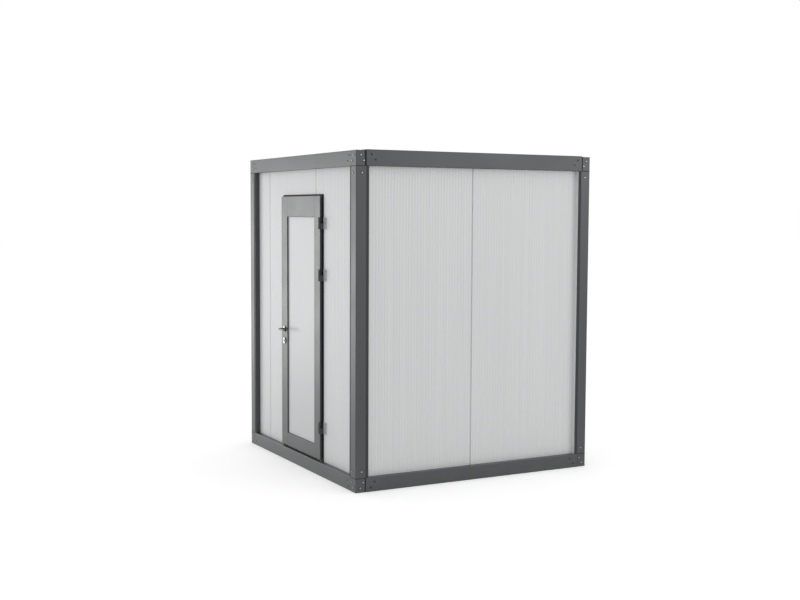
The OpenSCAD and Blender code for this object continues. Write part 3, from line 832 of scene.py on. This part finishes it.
roofLook = {"edge": 1.2 * mm, "ribPitch": 250 * mm, "ribShare": 0.14, "rows": 5, "rowInset": 90 * mm,
            "washer": 8 * mm, "washerFoot": 0.5 * mm, "washerSide": 0.4 * mm, "washerHeight": 1.2 * mm,
            "head": 4.6 * mm, "headHeight": 3 * mm, "headRim": 0.6 * mm}
makePiece("roofSheet", softCopy("roof_sheet", roofLook["edge"], 2), galvanised,
          nodes=["roof_sheet"])
sheetLow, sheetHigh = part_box("roof_sheet")
roofScrews = bmesh.new()
washerOutline = ((0, -roofLook["washerFoot"]), (roofLook["washer"], -roofLook["washerFoot"]),
                 (roofLook["washer"], roofLook["washerSide"]), (roofLook["head"], roofLook["washerHeight"]),
                 (0, roofLook["washerHeight"]))
ribsEachSide = int((sheetHigh.x - roofLook["ribPitch"] * roofLook["ribShare"]) / roofLook["ribPitch"])
for rib in range(-ribsEachSide, ribsEachSide + 1):
    for row in range(roofLook["rows"]):
        share = row / (roofLook["rows"] - 1)
        y = sheetLow.y + roofLook["rowInset"] + share * (sheetHigh.y - sheetLow.y - 2 * roofLook["rowInset"])
        spot = Matrix.Translation((rib * roofLook["ribPitch"], y, sheetHigh.z))
        addSpun(roofScrews, washerOutline, spot, 16)
        head = bmesh.new()
        bmesh.ops.create_cone(head, cap_ends=True, segments=6, radius1=roofLook["head"],
                              radius2=roofLook["head"], depth=roofLook["headHeight"])
        lift = roofLook["washerHeight"] + roofLook["headHeight"] / 2
        rim = [edge for edge in head.edges if all(vert.co.z > 0 for vert in edge.verts)]
        bevelEdges(head, rim, roofLook["headRim"], 2)
        addMesh(roofScrews, head, spot @ Matrix.Translation((0, 0, lift)))
makePiece("roofScrews", roofScrews, boltZinc)

keptNodes = {"floor_cassette": galvanised, "floor_covering": floorVinyl, "ceiling": liningWhite,
             "inner_corner_trims": liningWhite, "door_infill": infillGloss, "door_seal": sealRubberAndShade}
for node, material in keptNodes.items():
    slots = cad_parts[node].data.materials
    slots.clear()
    slots.append(material)
print("kept nodes finished")


# Stage, light and camera

stageLook = {"floorHalf": 60, "floorColour": (0.90, 0.90, 0.90), "floorLift": 0.36, "floorRoughness": 0.9,
             "floorSpecular": 0.1, "ambient": 0.74}
floorMesh = bmesh.new()
bmesh.ops.create_grid(floorMesh, x_segments=1, y_segments=1, size=stageLook["floorHalf"])
floorData = bpy.data.meshes.new("stageFloor")
floorMesh.to_mesh(floorData)
floorMesh.free()
stageFloor = bpy.data.objects.new("stageFloor", floorData)
bpy.context.scene.collection.objects.link(stageFloor)

floorPaint = bpy.data.materials.new("stageFloorPaint")
floorPaint.use_nodes = True
nodes, links = floorPaint.node_tree.nodes, floorPaint.node_tree.links
shader = nodes["Principled BSDF"]
shader.inputs["Base Color"].default_value = (*stageLook["floorColour"], 1)
shader.inputs["Roughness"].default_value = stageLook["floorRoughness"]
shader.inputs["Specular IOR Level"].default_value = stageLook["floorSpecular"]
shader.inputs["Emission Color"].default_value = (1, 1, 1, 1)


def seenDirectly(nodes, links):
    rays = nodes.new("ShaderNodeLightPath")
    total = rays.outputs["Is Camera Ray"]
    for kind in ("Is Glossy Ray", "Is Transmission Ray"):
        larger = nodes.new("ShaderNodeMath")
        larger.operation = "MAXIMUM"
        links.new(total, larger.inputs[0])
        links.new(rays.outputs[kind], larger.inputs[1])
        total = larger.outputs["Value"]
    return total


lift = nodes.new("ShaderNodeMath")
lift.operation = "MULTIPLY"
lift.inputs[1].default_value = stageLook["floorLift"]
links.new(seenDirectly(nodes, links), lift.inputs[0])
links.new(lift.outputs["Value"], shader.inputs["Emission Strength"])
floorData.materials.append(floorPaint)

world = bpy.data.worlds.new("studio")
bpy.context.scene.world = world
world.use_nodes = True
nodes, links = world.node_tree.nodes, world.node_tree.links
background = nodes["Background"]
background.inputs["Color"].default_value = (1, 1, 1, 1)
strength = nodes.new("ShaderNodeMapRange")
strength.inputs["To Min"].default_value = stageLook["ambient"]
strength.inputs["To Max"].default_value = 1
links.new(seenDirectly(nodes, links), strength.inputs["Value"])
links.new(strength.outputs["Result"], background.inputs["Strength"])

lampLook = {
    "frontSoftbox": {"at": (-6.1, -4.8, 1.4), "towards": (0, -1, 1.3), "size": (3.9, 2.8), "radiance": 2.6},
    "sideSoftbox": {"at": (7.7, 5.0, 3.0), "towards": (1, 0.3, 2.1), "size": (4.2, 1.4), "radiance": 4.2},
}
for name, look in lampLook.items():
    lamp = bpy.data.lights.new(name, "AREA")
    lamp.shape = "RECTANGLE"
    lamp.size, lamp.size_y = look["size"]
    lamp.energy = look["radiance"] * pi * lamp.size * lamp.size_y
    lampObject = bpy.data.objects.new(name, lamp)
    lampObject.location = look["at"]
    aim = Vector(look["towards"]) - Vector(look["at"])
    lampObject.rotation_euler = aim.to_track_quat("-Z", "Y").to_euler()
    lampObject.visible_camera = False
    bpy.context.scene.collection.objects.link(lampObject)

cameraLook = {"at": (8.979, -4.910, 2.138), "turn": 151.902, "tilt": -4.306, "roll": 0.278, "lens": 52.57,
              "sensor": 36, "farthest": 300}
turn, tilt, roll = (radians(cameraLook[key]) for key in ("turn", "tilt", "roll"))
ahead = Vector((cos(tilt) * cos(turn), cos(tilt) * sin(turn), sin(tilt)))
level = Vector((sin(turn), -cos(turn), 0))
above = level.cross(ahead)
right = cos(roll) * level + sin(roll) * above
above = cos(roll) * above - sin(roll) * level
cameraData = bpy.data.cameras.new("camera")
cameraData.lens = cameraLook["lens"]
cameraData.sensor_width = cameraLook["sensor"]
cameraData.clip_end = cameraLook["farthest"]
camera = bpy.data.objects.new("camera", cameraData)
facing = Matrix((right, above, -ahead)).transposed().to_4x4()
camera.matrix_world = Matrix.Translation(cameraLook["at"]) @ facing
bpy.context.scene.collection.objects.link(camera)
bpy.context.scene.camera = camera
bpy.context.scene.view_settings.view_transform = "Standard"
print("stage, lamps and camera set")
